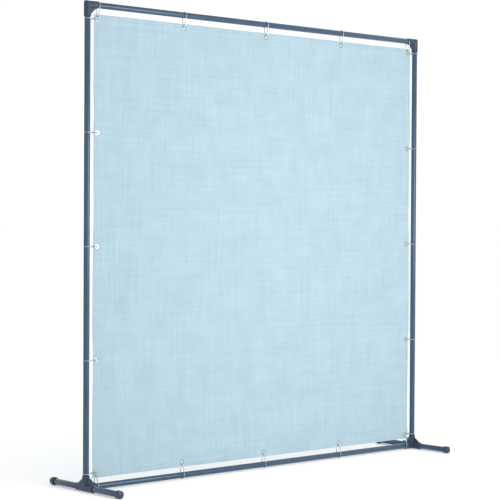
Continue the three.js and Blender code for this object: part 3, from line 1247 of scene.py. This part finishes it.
@dataclass
class WireRings:
    """The pear-shaped rings of sprung wire, each bent from one length with its ends side by side."""

    wire: float = 1.5 * MM
    pipe_gap: float = 0.8 * MM
    tip: float = 5.5 * MM
    pull: float = 0.5 * MM
    lift: float = 2.8 * MM
    overlap: float = 14 * MM
    fade: float = 9 * MM
    ends_gap: float = 0.5 * MM
    end_ease: float = 0.45
    sides: int = 14
    bow_steps: int = 30
    tip_steps: int = 18
    fade_steps: int = 8
    on_each_pipe: int = 5

    def pattern(self) -> Piece:
        """One ring about X, hanging down from a pipe at the origin, with its clasp to the front.

        The wire starts as a circle, is drawn along the straights and is spun round the bends.

        Returns:
            The ring.
        """
        low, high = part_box("top_rail")
        bow = (high.y - low.y) / 2 + self.pipe_gap + self.wire
        reach = centre_of("top_rail").z - centre_of("eyelet_top_3").z - self.lift
        bow_centre = Vector((0, 0, -self.pull))
        tip_centre = Vector((0, 0, self.tip - reach))
        lean = math.asin((bow - self.tip) / (bow_centre.z - tip_centre.z))
        out = Vector((0, -math.cos(lean), -math.sin(lean)))
        out_rear = Vector((0, math.cos(lean), -math.sin(lean)))
        bow_front = bow_centre + out * bow
        tip_front = tip_centre + out * self.tip
        middle = (bow_front + tip_front) / 2
        down = (tip_front - bow_front).normalized()
        step = self.wire + self.ends_gap / 2
        half = self.overlap / 2

        def on_side(along: float, aside: float) -> Vector:
            """A point on the front straight, some way down it and aside."""
            return middle + down * along + Along.X.value * aside

        def fading(away: int) -> list[Vector]:
            """The way from beside the wire's other end on to the straight.

            Args:
                away: 1 to go down the straight, or -1 to go up it.

            Returns:
                The points along the way.
            """
            shares = [i / self.fade_steps for i in range(self.fade_steps + 1)]
            eases = [share * share * (3 - 2 * share) for share in shares]
            return [
                on_side(away * (half + self.fade * share), -away * step * (1 - ease))
                for share, ease in zip(shares, eases)
            ]

        start = on_side(half, step)
        turn = down.to_track_quat("Z", "X").to_euler()
        piece = circle("ring_pattern", self.wire, self.sides, start, turn)
        about_x = {"axis": (1, 0, 0)}
        with editing(piece):
            self.draw_through([start, *fading(-1), bow_front])
            bpy.ops.mesh.spin(steps=self.bow_steps, angle=math.pi + 2 * lean, center=bow_centre, **about_x)
            self.draw_through([bow_centre + out_rear * bow, tip_centre + out_rear * self.tip])
            bpy.ops.mesh.spin(steps=self.tip_steps, angle=math.pi - 2 * lean, center=tip_centre, **about_x)
            self.draw_through([tip_front, *reversed(fading(1)), on_side(-half, -step)])
            close_ends(self.sides)
        merge_and_face_out(piece)
        ease_edges(piece, self.end_ease * self.wire, segments=3)
        shade(piece, degrees=50)
        return piece

    @staticmethod
    def draw_through(points: list[Vector]) -> None:
        """Draws the selected end of the wire from the first point through the others."""
        for here, there in zip(points, points[1:]):
            bpy.ops.mesh.extrude_region_move(TRANSFORM_OT_translate={"value": there - here})

    def build(self, finish: Finish) -> list[Piece]:
        """Makes one ring, and sets a copy of it on the pipes at each place.

        Args:
            finish: The bright wire.

        Returns:
            The rings.
        """
        places = {}
        for edge in Edge:
            for i in range(1, self.on_each_pipe + 1):
                node = f"ring_{edge.word}_{i}"
                pipe = centre_of(node)
                pipe.y = 0
                if edge in (Edge.TOP, Edge.BOTTOM):
                    pipe.z = centre_of(f"{edge.word}_rail").z
                else:
                    pipe.x = centre_of(f"{edge.word}_post").x
                places[node] = Matrix.Translation(pipe) @ Matrix.Rotation(edge.value, 4, "Y")
        return set_copies(self.pattern(), finish, "wire", places)


# ---- The curtain ----------------------------------------


@dataclass(frozen=True)
class ClothHand:
    """How the woven sheet behaves while it settles, in the simulation's own names.

    It shrinks by less than nothing, which gives it a little slack.
    """

    quality: int = 7
    mass: float = 0.35
    air_damping: float = 3
    tension_stiffness: float = 220
    compression_stiffness: float = 220
    shear_stiffness: float = 90
    bending_stiffness: float = 2.5
    tension_damping: float = 20
    compression_damping: float = 20
    shear_damping: float = 15
    pin_stiffness: float = 1
    shrink_min: float = -0.0003
    shrink_max: float = -0.0003


@dataclass
class Curtain:
    """The woven sheet with its folded hem and its stitching, hung from its eyelets."""

    cells: int = 96
    hem: float = 32 * MM
    seam: float = 27 * MM
    thickness: float = 0.5 * MM
    hem_thickness_share: float = 0.9
    gravity: float = 0.12
    grip: float = 20 * MM
    hole: float = 6.75 * MM
    hole_sides: int = 32
    punch_reach: float = 15 * MM
    ripple: float = 2.2 * MM
    frames: int = 34
    most_out: float = 9 * MM
    seam_search: float = 1e-5
    stitch_pitch: float = 6.5 * MM
    stitch_length: float = 4.4 * MM
    stitch_radius: float = 0.3 * MM
    stitch_sides: int = 6
    stitch_ease: float = 0.7
    stitch_proud: float = 0.4

    def __post_init__(self) -> None:
        """Reads the sheet's size and the eyelets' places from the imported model."""
        self.low, self.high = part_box("curtain")
        self.width = self.high.x - self.low.x
        self.height = self.high.z - self.low.z
        self.places = [centre_of(name) for name in Eyelets().names()]

    def lay_out(self) -> Piece:
        """Cuts the flat sheet as a grid, with a line of edges where the hem and the seam will be.

        Returns:
            The flat sheet, upright.
        """
        bpy.ops.mesh.primitive_grid_add(
            x_subdivisions=self.cells,
            y_subdivisions=self.cells,
            size=1,
            location=(self.low + self.high) / 2,
            rotation=(math.pi / 2, 0, 0),
        )
        bpy.context.active_object.scale = (self.width, self.height, 1)
        sheet = newest("curtain_cloth")
        with editing(sheet):
            for inset in (self.hem, self.seam):
                for axis, way in ((0, Along.X.value), (2, Along.Z.value)):
                    for place in (self.low[axis] + inset, self.high[axis] - inset):
                        bpy.ops.mesh.select_all(action="SELECT")
                        bpy.ops.mesh.bisect(plane_co=way * place, plane_no=way)
        return sheet

    def near_eyelet(self, point: Vector) -> bool:
        """Whether a point lies under an eyelet's grip."""
        return any((point - place).xz.length < self.grip for place in self.places)

    def wave(self, x: float, z: float) -> float:
        """The slight unevenness that the cloth starts with, from -1 to 1.

        Args:
            x: The place across.
            z: The place up.

        Returns:
            How far out it stands there.
        """
        broad = math.sin(3.1 * x + 0.8) * math.cos(2.3 * z + 0.4)
        folds = math.sin(9.7 * x + 1.3 * z + 0.5) * 0.55 + math.sin(6.1 * z - 2.2 * x) * 0.35
        return 0.5 * broad + 0.5 * folds

    def settle_cloth(self, sheet: Piece) -> None:
        """Hangs the cloth from its eyelets by simulation, and keeps what it settles to.

        Args:
            sheet: The flat sheet.
        """
        group = sheet.vertex_groups.new(name="eyelets")
        held = [v.index for v in sheet.data.vertices if self.near_eyelet(v.co)]
        group.add(held, 1.0, "REPLACE")
        for vertex in sheet.data.vertices:
            if not self.near_eyelet(vertex.co):
                vertex.co.y = self.ripple * self.wave(vertex.co.x, vertex.co.z)
        select_only(sheet)
        cloth = sheet.modifiers.new("Cloth", "CLOTH")
        for key, value in asdict(ClothHand()).items():
            setattr(cloth.settings, key, value)
        cloth.settings.effector_weights.gravity = self.gravity
        cloth.settings.vertex_group_mass = "eyelets"
        cloth.collision_settings.use_collision = False
        cloth.collision_settings.use_self_collision = False
        scene = bpy.context.scene
        for times in (scene, cloth.point_cache):
            times.frame_start = 1
            times.frame_end = self.frames
        flat = [vertex.co.copy() for vertex in sheet.data.vertices]
        for frame in range(1, self.frames + 1):
            scene.frame_set(frame)
        bpy.ops.object.modifier_apply(modifier=cloth.name)
        scene.frame_set(1)
        furthest = max((vertex.co - start).length for vertex, start in zip(sheet.data.vertices, flat))
        for vertex in sheet.data.vertices:
            vertex.co.y = max(-self.most_out, min(self.most_out, vertex.co.y))
        log.info("the cloth settled, moving %.1f mm at most", furthest / MM)

    def seam_lines(self, sheet: Piece) -> list[list[Vector]]:
        """Reads where the seam runs along each side of the settled cloth.

        Args:
            sheet: The settled sheet, before its layers are made.

        Returns:
            Four lines of points, one for each side.
        """
        layer = sheet.data.uv_layers.active.data
        flat = {loop.vertex_index: uv.uv.copy() for loop, uv in zip(sheet.data.loops, layer)}
        seam = (self.seam / self.width, self.seam / self.height)
        lines = []
        for axis in (0, 1):
            ends = seam[1 - axis] - self.seam_search
            for value in (seam[axis], 1 - seam[axis]):
                row = [i for i, uv in flat.items() if abs(uv[axis] - value) < self.seam_search]
                row = [i for i in row if ends < flat[i][1 - axis] < 1 - ends]
                row.sort(key=lambda i: flat[i][1 - axis])
                lines.append([sheet.data.vertices[i].co.copy() for i in row])
        return lines

    def hem_band(self, sheet: Piece) -> Piece:
        """Copies the border of the settled cloth as the folded hem, on its rear face.

        Args:
            sheet: The settled sheet, before its layers are made.

        Returns:
            The hem.
        """
        hem = copy_to(sheet, "curtain_hem", Matrix.Identity(4))
        inner_u, inner_v = self.hem / self.width, self.hem / self.height
        with editing(hem, "DESELECT"):
            work = bmesh.from_edit_mesh(hem.data)
            layer = work.loops.layers.uv.active
            for face in work.faces:
                middle = sum((loop[layer].uv for loop in face.loops), Vector((0, 0))) / len(face.loops)
                face.select_set(inner_u < middle.x < 1 - inner_u and inner_v < middle.y < 1 - inner_v)
            bmesh.update_edit_mesh(hem.data)
            bpy.ops.mesh.delete(type="FACE")
        self.thicken(hem, self.thickness * self.hem_thickness_share, behind=self.thickness)
        return hem

    def thicken(self, layer: Piece, thickness: float, behind: float = 0) -> None:
        """Smooths a layer of cloth, sets it behind the first one and gives it its thickness.

        Args:
            layer: The layer.
            thickness: How thick it is.
            behind: How far it lies behind the sheet.
        """
        use_modifier(layer, "SUBSURF", levels=1, render_levels=1, boundary_smooth="PRESERVE_CORNERS")
        with editing(layer):
            bpy.ops.transform.translate(value=(0, behind, 0))
        use_modifier(layer, "SOLIDIFY", thickness=thickness, offset=0)

    def punch(self, piece: Piece) -> None:
        """Punches a hole through a layer at each eyelet.

        Args:
            piece: The layer.
        """
        reach = Along.Y.value * self.punch_reach
        punches = [rod("punch", self.hole, p - reach, p + reach, self.hole_sides) for p in self.places]
        combine(piece, join(punches, "punches"), "DIFFERENCE")

    def stitches(self, lines: list[list[Vector]]) -> Piece:
        """Sews the hem: one stitch is modelled, and set in a row along each seam on both faces.

        Args:
            lines: The seam's line along each side.

        Returns:
            All the stitches.
        """
        half = Along.X.value * self.stitch_length / 2
        pattern = rod("stitch_pattern", self.stitch_radius, -half, half, self.stitch_sides)
        ease_edges(pattern, self.stitch_ease * self.stitch_radius, segments=1, degrees=80)
        stitches = [stitch for line in lines for stitch in self.sew_row(pattern, line)]
        bpy.data.objects.remove(pattern, do_unlink=True)
        return join(stitches, "curtain_stitching")

    def sew_row(self, pattern: Piece, line: list[Vector]) -> list[Piece]:
        """Sets copies of one stitch along a line, in front of the cloth and behind the hem.

        Args:
            pattern: The stitch, along X at the origin.
            line: The points that the seam follows.

        Returns:
            The stitches in the row.
        """
        lengths = [0.0]
        for a, b in zip(line, line[1:]):
            lengths.append(lengths[-1] + (b - a).length)
        count = int((lengths[-1] - self.stitch_length) / self.stitch_pitch)
        first = (lengths[-1] - (count - 1) * self.stitch_pitch) / 2
        proud = self.stitch_proud * self.stitch_radius
        front, behind = -self.thickness / 2 - proud, 1.5 * self.thickness + proud
        copies = []
        segment = 0
        for i in range(count):
            along = first + i * self.stitch_pitch
            while lengths[segment + 1] < along:
                segment += 1
            start, end = line[segment], line[segment + 1]
            share = (along - lengths[segment]) / (lengths[segment + 1] - lengths[segment])
            point = start.lerp(end, share)
            turn = (end - start).to_track_quat("X", "Z").to_matrix().to_4x4()
            for out in (front, behind):
                mesh = pattern.data.copy()
                mesh.transform(Matrix.Translation(point + Vector((0, out, 0))) @ turn)
                copy = bpy.data.objects.new("stitch", mesh)
                bpy.context.scene.collection.objects.link(copy)
                copies.append(copy)
        return copies

    def build(self, cloth: Finish, thread: Finish, eyelets: list[Piece], rings: list[Piece]) -> None:
        """Args:
            cloth: The woven finish.
            thread: The thread's finish.
            eyelets: The eyelets in the sheet; not used.
            rings: The rings that it hangs from; not used.
        """
        sheet = self.lay_out()
        self.settle_cloth(sheet)
        sheet.vertex_groups.clear()
        lines = self.seam_lines(sheet)
        hem = self.hem_band(sheet)
        self.thicken(sheet, self.thickness)
        for layer in (sheet, hem):
            self.punch(layer)
            shade(layer, degrees=60)
            dress(layer, cloth)
        stitching = self.stitches(lines)
        shade(stitching, degrees=50)
        dress(stitching, thread)
        stand_in(sheet, "curtain", "curtain")
        for piece in (hem, stitching):
            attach(piece, "curtain")
            log.info("%s: %d faces", piece.name, len(piece.data.polygons))


# ---- The whole screen ----------------------------------------


def main() -> None:
    """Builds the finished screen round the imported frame."""
    logging.basicConfig(level=logging.INFO, format="%(name)s: %(message)s")
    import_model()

    studio = Studio()
    studio.place_camera()
    studio.lay_floor()
    studio.light()

    joint_plastic = MouldedPlastic("joint_plastic", (0.017, 0.035, 0.064), (0.025, 0.047, 0.083))
    cap_plastic = MouldedPlastic("cap_plastic", (0.020, 0.038, 0.071), (0.029, 0.053, 0.094))

    PipeFrame().build(PowderCoat().make())
    MouldedJoints().build(joint_plastic.make(parting=True))
    FootCaps().build(cap_plastic.make(parting=False))
    eyelets = Eyelets().build(EYELET_PLATE.make())
    rings = WireRings().build(SPRING_WIRE.make())
    curtain = Curtain()
    woven = WovenMesh().make(curtain.width, curtain.height)
    curtain.build(woven, SewingThread().make(), eyelets, rings)


if __name__ == "__main__":
    main()
